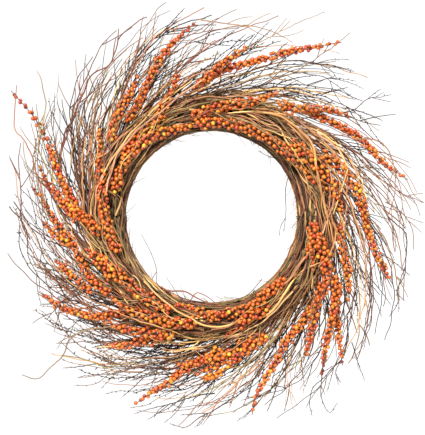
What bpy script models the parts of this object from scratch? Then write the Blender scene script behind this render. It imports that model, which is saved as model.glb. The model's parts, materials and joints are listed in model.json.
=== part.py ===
"""Harvest door wreath: berry sprays and twigs that swirl clockwise round a bound twig ring.

Metres, +Z up. The wreath hangs on a door and faces -Y. The origin is where a hook bears inside the
hanger loop, and the ring's centre is below it. A place on the wreath is given by its clock angle in
degrees (0 at the top, clockwise as seen from the front), its radius from the ring's centre and its
depth, which is how far it stands forward of the frame's wires.
"""

from math import cos, pi, radians, sin, sqrt

import bmesh
import bpy
import numpy as np
from mathutils import Vector

MM = 0.001

# The bound twig base
BASE_RADIUS = 0.152  # ring centre to the middle of the base
BASE_THICKNESS = 0.056
HANK_COUNT = 4
HANK_TWISTS = 3  # turns that a hank makes round the base in one lap
HANK_STATIONS = 54
HANK_GAP = 0.0006

# The wire frame behind it
FRAME_WIRE = 0.0035
FRAME_STATIONS = 48
CROSS_WIRE = 0.003
CROSS_WIRE_COUNT = 4
CROSS_WIRE_OVERHANG = 0.005
WELD_GAP = 0.0003  # welded wires are modelled this far apart

# The binding wire that ties base and frame together
BINDING_WIRE = 0.0012
BINDING_COUNT = 6
BINDING_TURNS = 2
BINDING_PITCH = 0.003
BINDING_STATIONS = 14  # in one turn
BINDING_CLEARANCE = 0.0004

# The hanger loop, which swings on the outer ring wire
HANGER_WIRE = 0.002
HANGER_REACH = 0.052  # ring wire's middle to the inside of the loop's top
HANGER_LEAN = radians(4)  # forward, so that the loop rests at its stop
HANGER_LOOP_WIDTH = 0.028
HANGER_NECK_LENGTH = 0.010
HANGER_NECK_THICKNESS = 0.0036
HANGER_EYE_CLEARANCE = 0.0006  # round the ring wire
HANGER_EYE_ROOM = 0.0009  # between the eye and the base in front of it
HANGER_EYE_STATIONS = 16
HANGER_LOOP_STATIONS = 28
HANGER_LOOP_FULLNESS = 1.22  # makes up for what the teardrop shape takes off the loop's width
HANGER_LOOP_POINT = 0.35  # power that draws the loop in towards its foot; 0 would leave an oval

# Branched twigs that stand out from the base's outer side
BRANCH_COUNT = 10
BRANCH_THICKNESS = 0.0044
BRANCH_TIP = 0.0018
SIDE_TWIG_THICKNESS = 0.0024
SIDE_TWIG_TIP = 0.0014
BRANCH_CLEARANCE = 0.0035
BRANCH_SWEEP = 47.0  # clock degrees that a branch would run if it didn't slow down
BRANCH_SLOWING = 0.25  # share of that sweep that it loses by its tip
BRANCH_TURN_OUT = 1.35  # power of its way outwards; over 1 it leaves along the base
BRANCH_STATIONS = 11
BRANCH_LEAN = 0.010  # how far side twigs stand in front of and behind their branch
BRANCH_START = 6.0  # clock degrees of the first branch's root
BRANCH_REACHES = (146, 146, 148, 150, 156, 148, 144, 143, 150, 157)  # mm, tip beyond the base's middle
SIDE_TWIG_STARTS = (0.18, 0.34, 0.50, 0.66)  # shares of the branch
SIDE_TWIG_SHARE = 0.38  # of the branch's length
SIDE_TWIG_SPREAD = 5.5  # clock degrees between the branch and a side twig's tip
SIDE_TWIG_BEND = 1.2  # power of that spread along the side twig
SIDE_TWIG_STATIONS = 5

# Berry sprays and vines, laid on the front one over another
SPRAY_THICKNESS = 0.0150
SPRAY_TIP = 0.0060
SPRAY_WAIST = 0.80  # a spray's thickness between two clusters, as a share of that at a cluster
SPRAY_TAPER_START = 1 / 2.2  # share of its length, from the tip, over which a spray tapers
SPRAY_TAPER_POWER = 0.8
STEM_THICKNESS = 0.0030
STEM_ROOT = 16  # mm beyond the base's middle, where a spray that starts further out is wired on
STEM_SWEEP = 0.55  # clock degrees that such a stem runs for each mm that it goes outwards
STEM_BARE = 0.010  # the least length of stem without berries
CLUSTER_SPACING = 0.020
VINE_THICKNESS = 0.0036
VINE_TIP = 0.0022
VINE_SPACING = 0.013
LAY_CLEARANCE = 0.0010
LAY_SLOPE = 0.45  # the steepest that a laid piece climbs over another
LAY_STEP = 0.004
LAY_SMOOTHING = 9  # steps
CURVE_STEPS = 24  # points worked out between two stops of a smooth line

# Each berry spray from its first berries to its tip: clock angle in degrees, and mm outwards from the
# base's middle. They are listed in the order in which they are laid.
SPRAYS = (
    ((357, 43), (5, 60), (15, 79), (20, 92), (25, 110), (31, 133), (36, 158)),
    ((40, 48), (48, 61), (54, 73), (60, 86), (66, 96), (72, 106), (79, 134)),
    ((84, 60), (92, 70), (98, 80), (103, 93), (107, 108), (110, 124)),
    ((117, 53), (125, 68), (130, 85), (134, 104), (138, 129)),
    ((130, 41), (140, 49), (149, 57), (156, 76), (162, 96), (166, 114), (168, 134)),
    ((176, 38), (184, 56), (191, 76), (195, 96), (199, 116), (202, 138)),
    ((222, 33), (226, 50), (229, 68), (234, 84), (238, 98), (246, 118)),
    ((233, 32), (243, 42), (253, 47), (260, 53), (268, 72), (276, 93), (279, 109)),
    ((268, 30), (276, 47), (284, 70), (289, 87), (293, 100), (299, 138), (302, 186)),
    ((318, 30), (326, 40), (333, 57), (339, 76), (344, 94), (350, 112), (355, 128)),
    ((352, 31), (356, 40), (0, 52), (5, 70), (9, 85), (12, 98)),
    ((30, 36), (36, 41), (41, 53), (46, 70), (50, 83), (54, 94)),
    ((60, 28), (68, 46), (76, 55), (84, 65), (90, 70)),
    ((93, 30), (100, 36), (107, 48), (113, 61), (121, 79)),
    ((115, 43), (123, 58), (130, 73), (136, 88), (141, 106), (145, 126)),
    ((120, 32), (131, 46), (138, 63), (142, 76), (147, 93)),
    ((158, 29), (167, 40), (174, 54), (181, 67), (186, 76)),
    ((204, 43), (210, 56), (214, 72), (220, 91)),
    ((197, 26), (206, 34), (214, 46), (220, 55), (226, 63)),
    ((307, 28), (314, 40), (320, 51), (326, 59), (332, 76)),
    ((46, 1), (58, 8), (66, 18), (75, 25), (82, 30), (89, 37)),
    ((99, 2), (106, 12), (113, 26), (119, 37), (126, 43)),
    ((249, -10), (260, -5), (272, 1), (283, 8), (291, 18), (298, 30), (308, 54)),
    ((188, 1), (200, 9), (212, 16), (222, 26), (231, 32)),
    ((305, 4), (318, 1), (328, 1), (334, 13), (340, 29), (347, 57)),
    ((348, -6), (358, -1), (6, 6), (14, 14), (21, 25), (28, 51)),
    ((203, -6), (216, -4), (230, 0), (242, 7), (252, 16)),
    ((284, -9), (296, -4), (308, -2), (320, -5), (335, -14), (350, -15)),
    ((350, -15), (10, -14), (30, -13), (45, -11), (60, -6), (72, 2)),
    ((130, -14), (142, -18), (155, -11), (168, -12), (181, -9)),
)

# Each vine, in the same way. They are laid last.
VINES = (
    ((20, 8), (34, 22), (52, 26), (64, 14), (82, 9), (97, 22), (108, 34)),
    ((126, -4), (140, 2), (151, 9), (164, 2), (178, 6), (193, -5), (209, -14), (226, -18)),
    ((282, 2), (300, 8), (318, 9), (334, 14), (346, 27), (356, 42)),
)

BASE_DEPTH = FRAME_WIRE / 2 + WELD_GAP + BASE_THICKNESS / 2
EYE_FRONT = FRAME_WIRE / 2 + HANGER_EYE_CLEARANCE + HANGER_WIRE
# The ring wires are as close together as leaves the eye its room behind the round base.
FRAME_HALF_WIDTH = sqrt((BASE_THICKNESS / 2) ** 2 - (BASE_DEPTH - EYE_FRONT - HANGER_EYE_ROOM) ** 2)
FRAME_INNER_RADIUS = BASE_RADIUS - FRAME_HALF_WIDTH
FRAME_OUTER_RADIUS = BASE_RADIUS + FRAME_HALF_WIDTH
FRAME_SETBACK = HANGER_REACH * sin(HANGER_LEAN)
RING_HEIGHT = -(HANGER_REACH * cos(HANGER_LEAN) + FRAME_OUTER_RADIUS)
BINDING_REACH = BINDING_CLEARANCE + BINDING_WIRE  # from the base's surface to the wire's outside

COLOURS = {  # base colour, roughness, metallic
    "steel": ((0.20, 0.16, 0.13), 0.50, 0.85),
    "binding": ((0.16, 0.11, 0.07), 0.60, 0.60),
    "straw": ((0.33, 0.24, 0.15), 0.90, 0.0),
    "twig": ((0.16, 0.09, 0.06), 0.85, 0.0),
    "vine": ((0.60, 0.40, 0.20), 0.75, 0.0),
    "berry": ((0.90, 0.30, 0.05), 0.45, 0.0),
}


def clear_scene():
    for obj in list(bpy.data.objects):
        bpy.data.objects.remove(obj)


def make_material(name):
    colour, roughness, metallic = COLOURS[name]
    material = bpy.data.materials.new(name)
    material.use_nodes = True
    shader = material.node_tree.nodes["Principled BSDF"]
    shader.inputs["Base Color"].default_value = (*colour, 1)
    shader.inputs["Roughness"].default_value = roughness
    shader.inputs["Metallic"].default_value = metallic
    return material


def on_wreath(clock, radius, depth):
    turn = radians(clock)
    return Vector((radius * sin(turn), FRAME_SETBACK - depth, RING_HEIGHT + radius * cos(turn)))


# Round bars along a line


def bar_curve(name, points, thicknesses, closed=False, resolution=1):
    """A curve whose round section follows the points. Resolution 0 gives 4 sides and 1 gives 6."""
    curve = bpy.data.curves.new(name, "CURVE")
    curve.dimensions = "3D"
    curve.bevel_depth = 1.0  # so that a point's radius is the bar's radius in metres
    curve.bevel_resolution = resolution
    curve.use_fill_caps = not closed
    spline = curve.splines.new("POLY")
    spline.points.add(len(points) - 1)
    for point, place, thickness in zip(spline.points, points, thicknesses):
        point.co = (*place, 1.0)
        point.radius = thickness / 2
    spline.use_cyclic_u = closed
    return curve


def add_object(name, data, material):
    obj = bpy.data.objects.new(name, data)
    data.materials.append(material)
    bpy.context.scene.collection.objects.link(obj)
    return obj


def add_bar(name, points, thicknesses, material, closed=False, resolution=1):
    curve = bar_curve(name, points, thicknesses, closed, resolution)
    return add_object(name, curve, material)


def add_bar_mesh(name, points, thicknesses, material, closed=False, resolution=1):
    """The same bar as a mesh with its caps sewn on, for a Boolean."""
    bar = add_bar(name + "_curve", points, thicknesses, material, closed, resolution)
    graph = bpy.context.evaluated_depsgraph_get()
    mesh = bpy.data.meshes.new_from_object(bar.evaluated_get(graph))
    bpy.data.objects.remove(bar)
    shape = bmesh.new()
    shape.from_mesh(mesh)
    bmesh.ops.remove_doubles(shape, verts=shape.verts, dist=1e-6)
    shape.to_mesh(mesh)
    shape.free()
    mesh.shade_smooth()
    mesh.name = name
    obj = bpy.data.objects.new(name, mesh)
    bpy.context.scene.collection.objects.link(obj)
    return obj


def unite(main, others):
    for other in others:
        other.hide_render = True
        other.display_type = "WIRE"
        joint = main.modifiers.new(other.name, "BOOLEAN")
        joint.operation = "UNION"
        joint.object = other


# The frame, the base and its binding


def build_frame(steel):
    rings = {"inner": FRAME_INNER_RADIUS, "outer": FRAME_OUTER_RADIUS}
    for side, radius in rings.items():
        clocks = np.arange(FRAME_STATIONS) * 360 / FRAME_STATIONS
        points = [on_wreath(clock, radius, 0) for clock in clocks]
        add_bar(f"frame_ring_{side}", points, [FRAME_WIRE] * len(points), steel, closed=True)
    behind = -(FRAME_WIRE + CROSS_WIRE) / 2 - WELD_GAP
    for n in range(CROSS_WIRE_COUNT):
        clock = (n + 0.5) * 360 / CROSS_WIRE_COUNT
        ends = (
            on_wreath(clock, FRAME_INNER_RADIUS - CROSS_WIRE_OVERHANG, behind),
            on_wreath(clock, FRAME_OUTER_RADIUS + CROSS_WIRE_OVERHANG, behind),
        )
        add_bar(f"frame_cross_wire_{n + 1}", ends, [CROSS_WIRE] * 2, steel)


def hank_sizes():
    """Radius of the circle that the hanks lie on, and a hank's own radius, so that they fill the base.

    Twisted hanks cross the base at a slant, which widens their section, so they get that much less.
    """
    half = BASE_THICKNESS / 2
    closeness = sin(pi / HANK_COUNT)
    lay = half / (1 + closeness)
    slant = HANK_TWISTS * lay / (BASE_RADIUS - lay)
    squeeze = closeness / sqrt(1 + slant**2)
    lay = (half + HANK_GAP / 2) / (1 + squeeze)
    return lay, half - lay


def build_base(straw):
    lay, hank = hank_sizes()
    for n in range(HANK_COUNT):
        points = []
        for k in range(HANK_STATIONS):
            clock = k * 360 / HANK_STATIONS
            phase = 2 * pi * n / HANK_COUNT + HANK_TWISTS * radians(clock)
            radius = BASE_RADIUS + lay * cos(phase)
            points.append(on_wreath(clock, radius, BASE_DEPTH + lay * sin(phase)))
        name = f"base_hank_{n + 1}"
        add_bar(name, points, [2 * hank] * len(points), straw, closed=True)


def binding_section(turn):
    """Radius and depth of the binding wire's middle at this turn round the base and both ring wires.

    The wire is pulled tight, so in each direction it lies on whichever round part reaches furthest.
    The chords between its stations stay outside those parts.
    """
    away = BINDING_CLEARANCE + BINDING_WIRE / 2
    spread = 1 / cos(pi / BINDING_STATIONS)
    rounds = (
        (BASE_RADIUS, BASE_DEPTH, (BASE_THICKNESS / 2 + away) * spread),
        (FRAME_INNER_RADIUS, 0.0, (FRAME_WIRE / 2 + away) * spread),
        (FRAME_OUTER_RADIUS, 0.0, (FRAME_WIRE / 2 + away) * spread),
    )
    across, forward = cos(turn), sin(turn)
    reach = [radius * across + depth * forward + size for radius, depth, size in rounds]
    radius, depth, size = rounds[reach.index(max(reach))]
    return radius + size * across, depth + size * forward


def build_bindings(wire):
    stations = BINDING_TURNS * BINDING_STATIONS
    for n in range(BINDING_COUNT):
        middle = (n + 0.5) * 360 / BINDING_COUNT
        points = []
        for k in range(stations):
            radius, depth = binding_section(2 * pi * k / BINDING_STATIONS)
            along = (k / BINDING_STATIONS - BINDING_TURNS / 2) * BINDING_PITCH
            clock = middle + np.degrees(along / (BASE_RADIUS - BASE_THICKNESS / 2))
            points.append(on_wreath(clock, radius, depth))
        name = f"binding_wire_{n + 1}"
        add_bar(name, points, [BINDING_WIRE] * len(points), wire, resolution=0)


def build_hanger(steel):
    """A wire loop with a twisted neck and an eye that turns on the outer ring wire.

    Its points are measured from its pivot, the ring wire's middle at the top.
    """
    eye_radius = FRAME_WIRE / 2 + HANGER_EYE_CLEARANCE + HANGER_WIRE / 2
    turns = np.arange(HANGER_EYE_STATIONS) * 2 * pi / HANGER_EYE_STATIONS
    eye = [Vector((0, eye_radius * sin(turn), eye_radius * cos(turn))) for turn in turns]
    neck = [Vector((0, 0, eye_radius)), Vector((0, 0, eye_radius + HANGER_NECK_LENGTH))]
    top = HANGER_REACH + HANGER_WIRE / 2
    foot = neck[1].z - HANGER_WIRE / 2
    loop = []
    for turn in np.arange(HANGER_LOOP_STATIONS) * 2 * pi / HANGER_LOOP_STATIONS:
        # An oval, drawn in towards its foot so that it is a teardrop
        height = (top + foot) / 2 + (top - foot) / 2 * cos(turn)
        half_width = HANGER_LOOP_WIDTH / 2 * sin(turn) * (0.5 + 0.5 * cos(turn)) ** HANGER_LOOP_POINT
        loop.append(Vector((half_width * HANGER_LOOP_FULLNESS, 0, height)))
    hanger = add_bar_mesh("hanger_loop", loop, [HANGER_WIRE] * len(loop), steel, closed=True)
    eye = add_bar_mesh("hanger_eye", eye, [HANGER_WIRE] * len(eye), steel, closed=True)
    neck = add_bar_mesh("hanger_neck", neck, [HANGER_NECK_THICKNESS] * 2, steel, resolution=2)
    unite(hanger, (eye, neck))
    pivot = bpy.data.objects.new("hanger_pivot", None)
    pivot.location = on_wreath(0, FRAME_OUTER_RADIUS, 0)
    pivot.rotation_euler.x = HANGER_LEAN
    bpy.context.scene.collection.objects.link(pivot)
    for piece in (hanger, eye, neck):
        piece.parent = pivot


# Branches on the base's outer side


def branch_place(root_clock, root_radius, tip_radius, share):
    """Clock angle and radius on a branch, from 0 at its root to 1 at its tip. It leaves along the base."""
    clock = root_clock + BRANCH_SWEEP * share * (1 - BRANCH_SLOWING * share)
    return clock, root_radius + (tip_radius - root_radius) * share**BRANCH_TURN_OUT


def build_branches(bark):
    root_radius = BASE_RADIUS + BASE_THICKNESS / 2 + BINDING_REACH + BRANCH_CLEARANCE
    for n in range(BRANCH_COUNT):
        root_clock = BRANCH_START + n * 360 / BRANCH_COUNT
        tip_radius = BASE_RADIUS + BRANCH_REACHES[n] * MM
        shares = np.linspace(0, 1, BRANCH_STATIONS)
        points = [
            on_wreath(*branch_place(root_clock, root_radius, tip_radius, share), BASE_DEPTH)
            for share in shares
        ]
        sizes = [BRANCH_THICKNESS + (BRANCH_TIP - BRANCH_THICKNESS) * s for s in shares]
        branch = add_bar_mesh(f"twig_branch_{n + 1:02d}", points, sizes, bark)
        twigs = []
        for k, start in enumerate(SIDE_TWIG_STARTS):
            side = 1 if k % 2 else -1
            name = f"side_twig_{n + 1:02d}_{k + 1}"
            twigs.append(build_side_twig(name, root_clock, root_radius, tip_radius, start, side, bark))
        unite(branch, twigs)


def build_side_twig(name, root_clock, root_radius, tip_radius, start, side, bark):
    """A twig that leaves its branch at the share start: to the clockwise side and forward, or the other."""
    points, sizes = [], []
    for step in np.linspace(0, 1, SIDE_TWIG_STATIONS):
        share = start + SIDE_TWIG_SHARE * step
        clock, radius = branch_place(root_clock, root_radius, tip_radius, share)
        clock += side * SIDE_TWIG_SPREAD * step**SIDE_TWIG_BEND
        depth = BASE_DEPTH + side * BRANCH_LEAN * step
        points.append(on_wreath(clock, radius, depth))
        sizes.append(SIDE_TWIG_THICKNESS + (SIDE_TWIG_TIP - SIDE_TWIG_THICKNESS) * step)
    return add_bar_mesh(name, points, sizes, bark, resolution=0)


# Sprays and vines, laid one over another


def smooth_line(stops, step):
    """Points about a step apart on a smooth line through the stops: x and z from the ring's centre."""
    clocks = np.unwrap(np.radians([clock for clock, _ in stops]))
    reaches = np.array([BASE_RADIUS + reach * MM for _, reach in stops])
    knots = np.column_stack((reaches * np.sin(clocks), reaches * np.cos(clocks)))
    before = 2 * knots[0] - knots[1]
    after = 2 * knots[-1] - knots[-2]
    padded = np.vstack((before, knots, after))
    line = []
    for a, b, c, d in zip(padded, padded[1:], padded[2:], padded[3:]):
        for t in np.linspace(0, 1, CURVE_STEPS, endpoint=False):
            bend = 2 * b + (c - a) * t + (2 * a - 5 * b + 4 * c - d) * t**2
            line.append((bend + (3 * b - a - 3 * c + d) * t**3) / 2)
    line = np.array([*line, knots[-1]])
    lengths = np.hypot(*np.diff(line, axis=0).T)
    along = np.concatenate(([0], np.cumsum(lengths)))
    count = max(4, round(along[-1] / step) + 1)
    even = np.linspace(0, along[-1], count)
    return even, np.column_stack([np.interp(even, along, line[:, k]) for k in (0, 1)])


def floor_depth(radius):
    """The depth of what lies under the first layer: the bound base, or the branches beside it."""
    half = BASE_THICKNESS / 2 + BINDING_REACH
    beside = BASE_DEPTH + BRANCH_LEAN + BRANCH_THICKNESS / 2
    over_base = BASE_DEPTH + sqrt(max(0.0, half**2 - (radius - BASE_RADIUS) ** 2))
    return max(over_base, beside)


def lowest_depths(line, halves, laid):
    """The least depth that each point of a new piece can have over the floor and the laid pieces."""
    depths = np.array([floor_depth(np.hypot(x, z)) for x, z in line]) + halves
    for other_line, other_depths, other_halves in laid:
        apart = np.hypot(*(line[:, None] - other_line[None]).transpose(2, 0, 1))
        needed = halves[:, None] + other_halves[None] + LAY_CLEARANCE
        lift = np.sqrt(np.maximum(0, needed**2 - apart**2))
        over = np.where(apart < needed, other_depths[None] + lift, 0)
        depths = np.maximum(depths, over.max(axis=1))
    return depths + LAY_CLEARANCE


def lay_piece(line, along, halves, laid):
    """Depths of a new piece that rests on what is under it, climbs no steeper than a stem can, and is smooth."""
    lowest = lowest_depths(line, halves, laid)
    climb = LAY_SLOPE * np.abs(along[:, None] - along[None])
    depths = (lowest[None] - climb).max(axis=1)
    pad = LAY_SMOOTHING // 2
    padded = np.pad(depths, pad, mode="edge")
    depths = np.convolve(padded, np.ones(LAY_SMOOTHING) / LAY_SMOOTHING, mode="valid")
    depths = depths + max(0, (lowest - depths).max())
    laid.append((line, depths, halves))
    return depths


def build_laid(name, stops, half_at, spacing, material, laid):
    """Lays a piece with the given half thickness along it, and builds it with a station at each spacing."""
    along, line = smooth_line(stops, LAY_STEP)
    widest = np.array([half_at(s, along[-1], True) for s in along])
    depths = lay_piece(line, along, widest, laid)
    stations = np.linspace(0, along[-1], max(3, round(along[-1] / spacing)) + 1)
    points, sizes = [], []
    for k, s in enumerate(stations):
        x, z = (np.interp(s, along, line[:, axis]) for axis in (0, 1))
        points.append(Vector((x, FRAME_SETBACK - np.interp(s, along, depths), RING_HEIGHT + z)))
        sizes.append(2 * half_at(s, along[-1], k % 2 == 0))
    add_bar(name, points, sizes, material)


def rooted(stops):
    """The stops with the stem's root before them, and the length of stem that has no berries."""
    clock, reach = stops[0]
    climb = max(0, reach - STEM_ROOT)
    if climb == 0:
        return stops, STEM_BARE
    root = (clock - STEM_SWEEP * climb, STEM_ROOT)
    turn = radians(clock - root[0])
    ends = [BASE_RADIUS + r * MM for r in (STEM_ROOT, reach)]
    bare = sqrt(ends[0] ** 2 + ends[1] ** 2 - 2 * ends[0] * ends[1] * cos(turn))
    return (root, *stops), max(bare, STEM_BARE)


def spray_half_with(bare):
    """Half of a spray's thickness: the bare stem, then clusters of berries that get smaller to the tip."""

    def half(along, length, at_cluster):
        if along < bare:
            return STEM_THICKNESS / 2
        share = (along - bare) / (length - bare)
        fullness = min(1, (1 - share) / SPRAY_TAPER_START) ** SPRAY_TAPER_POWER
        thickness = SPRAY_TIP + (SPRAY_THICKNESS - SPRAY_TIP) * fullness
        return thickness / 2 * (1 if at_cluster else SPRAY_WAIST)

    return half


def vine_half(along, length, _):
    return (VINE_THICKNESS + (VINE_TIP - VINE_THICKNESS) * along / length) / 2


def build_front(berry, vine):
    laid = []
    for n, berries in enumerate(SPRAYS):
        stops, bare = rooted(berries)
        name = f"berry_spray_{n + 1:02d}"
        build_laid(name, stops, spray_half_with(bare), CLUSTER_SPACING / 2, berry, laid)
    for n, stops in enumerate(VINES):
        build_laid(f"tan_vine_{n + 1}", stops, vine_half, VINE_SPACING, vine, laid)


def main():
    clear_scene()
    materials = {name: make_material(name) for name in COLOURS}
    build_frame(materials["steel"])
    build_base(materials["straw"])
    build_bindings(materials["binding"])
    build_hanger(materials["steel"])
    build_branches(materials["twig"])
    build_front(materials["berry"], materials["vine"])


main()
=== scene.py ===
"""The looks of a harvest door wreath: berry sprays, twigs and vines on a bound twig ring."""

import json
from math import cos, pi, radians, sin, sqrt

import bmesh
import bpy
import numpy as np
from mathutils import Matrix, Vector


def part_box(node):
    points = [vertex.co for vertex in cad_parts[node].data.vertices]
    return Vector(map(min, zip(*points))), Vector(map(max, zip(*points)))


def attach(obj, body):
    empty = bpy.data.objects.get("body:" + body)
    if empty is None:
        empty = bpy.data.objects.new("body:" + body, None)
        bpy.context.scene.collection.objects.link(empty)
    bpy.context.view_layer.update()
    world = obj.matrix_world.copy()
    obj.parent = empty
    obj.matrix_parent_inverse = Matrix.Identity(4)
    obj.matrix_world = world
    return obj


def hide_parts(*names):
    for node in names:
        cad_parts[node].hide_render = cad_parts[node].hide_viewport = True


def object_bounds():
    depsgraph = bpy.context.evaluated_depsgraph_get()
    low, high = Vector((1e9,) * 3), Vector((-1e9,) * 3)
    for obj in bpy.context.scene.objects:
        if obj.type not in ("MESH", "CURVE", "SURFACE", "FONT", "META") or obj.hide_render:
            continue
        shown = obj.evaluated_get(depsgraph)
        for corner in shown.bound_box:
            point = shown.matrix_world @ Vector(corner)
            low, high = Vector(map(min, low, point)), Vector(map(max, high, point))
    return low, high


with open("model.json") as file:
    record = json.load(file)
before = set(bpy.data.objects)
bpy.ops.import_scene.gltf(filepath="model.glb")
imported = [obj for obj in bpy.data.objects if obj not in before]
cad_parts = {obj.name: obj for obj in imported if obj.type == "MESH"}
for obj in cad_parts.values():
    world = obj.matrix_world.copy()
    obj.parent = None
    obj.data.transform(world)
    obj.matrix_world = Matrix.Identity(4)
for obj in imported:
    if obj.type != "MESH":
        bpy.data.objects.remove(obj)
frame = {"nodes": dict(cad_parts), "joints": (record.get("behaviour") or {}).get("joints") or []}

CAD_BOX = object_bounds()
GOLDEN_ANGLE = pi * (3 - sqrt(5))
NODES = frame["nodes"]


def box_of(prefix):
    """The lowest and highest corner of all CAD nodes whose names start so."""
    boxes = np.array([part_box(name) for name in NODES if name.startswith(prefix)])
    return boxes[:, 0].min(axis=0), boxes[:, 1].max(axis=0)


# Sizes read from the frame

OUTER_LOW, OUTER_HIGH = box_of("frame_ring_outer")
INNER_LOW, INNER_HIGH = box_of("frame_ring_inner")
CENTRE = (OUTER_LOW + OUTER_HIGH) / 2
FRAME_WIRE = OUTER_HIGH[1] - OUTER_LOW[1]
OUTER_RADIUS = (OUTER_HIGH[0] - OUTER_LOW[0] - FRAME_WIRE) / 2
INNER_RADIUS = (INNER_HIGH[0] - INNER_LOW[0] - FRAME_WIRE) / 2
BASE_RADIUS = (OUTER_RADIUS + INNER_RADIUS) / 2
BASE_LOW, BASE_HIGH = box_of("base_hank")
BASE_Y = (BASE_LOW[1] + BASE_HIGH[1]) / 2
BASE_HALF = (BASE_HIGH[1] - BASE_LOW[1]) / 2
MM = 0.001
TWIG_LIMIT = 0.307  # no twig tip lies further from the ring's centre
JOINT_GAPS = (0.010, 0.028)  # the least and the most between the joints at which a twig turns


def linear(*levels):
    """A colour given as sRGB levels from 0 to 255, as the shader takes it."""
    shares = np.array(levels) / 255
    return np.where(shares <= 0.04045, shares / 12.92, ((shares + 0.055) / 1.055) ** 2.4)


def palette(*colours):
    return [linear(*colour) for colour in colours]


def pick(rng, colours, darkest, palest):
    """One of the colours, made darker or paler."""
    return colours[rng.integers(len(colours))] * rng.uniform(darkest, palest)


# The colours among which the stems of each kind vary
STRAW = palette((110, 70, 42), (136, 104, 60), (176, 122, 82), (190, 150, 100), (126, 113, 66))
DARK_BARK = palette((42, 24, 15), (64, 40, 26), (82, 54, 36), (54, 32, 20), (100, 70, 46))
RED_BARK = palette((126, 66, 38), (144, 82, 48), (108, 60, 38), (162, 100, 62), (136, 90, 58))
TAN_BARK = palette((194, 140, 84), (212, 170, 102), (208, 150, 114), (184, 134, 84), (222, 186, 118))
PALE_TWIG = palette((150, 120, 80), (180, 136, 98), (146, 102, 74), (154, 135, 78))
BERRY_COLOURS = palette(
    (194, 84, 10), (201, 98, 13), (208, 114, 18), (180, 63, 10), (216, 134, 26), (228, 162, 40)
)
BERRY_SHARES = (0.26, 0.30, 0.23, 0.11, 0.08, 0.02)
BERRY_END = linear(96, 40, 14)  # the dark calyx in a berry's end
STEM_BROWN = linear(104, 66, 40)
# painted shade: the base's core is coloured near black, as the shade deep inside the base
CORE_PAINTED_SHADE = linear(40, 22, 10)


# Meshes made of many tubes


def unit(vectors):
    return vectors / np.linalg.norm(vectors, axis=-1, keepdims=True)


def lengths_along(line):
    """How far along a line each of its points lies."""
    return np.concatenate(([0], np.cumsum(np.linalg.norm(np.diff(line, axis=0), axis=1))))


BUD_BASE, BUD_WAIST, BUD_TIP, BUD_HALF = -0.5, 0.4, 1.5, 0.36  # shares of a bud's size
BUD_FACES = np.array([(0, 1, 2), (0, 2, 3), (0, 3, 4), (0, 4, 1), (5, 2, 1), (5, 3, 2), (5, 4, 3), (5, 1, 4)])


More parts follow.
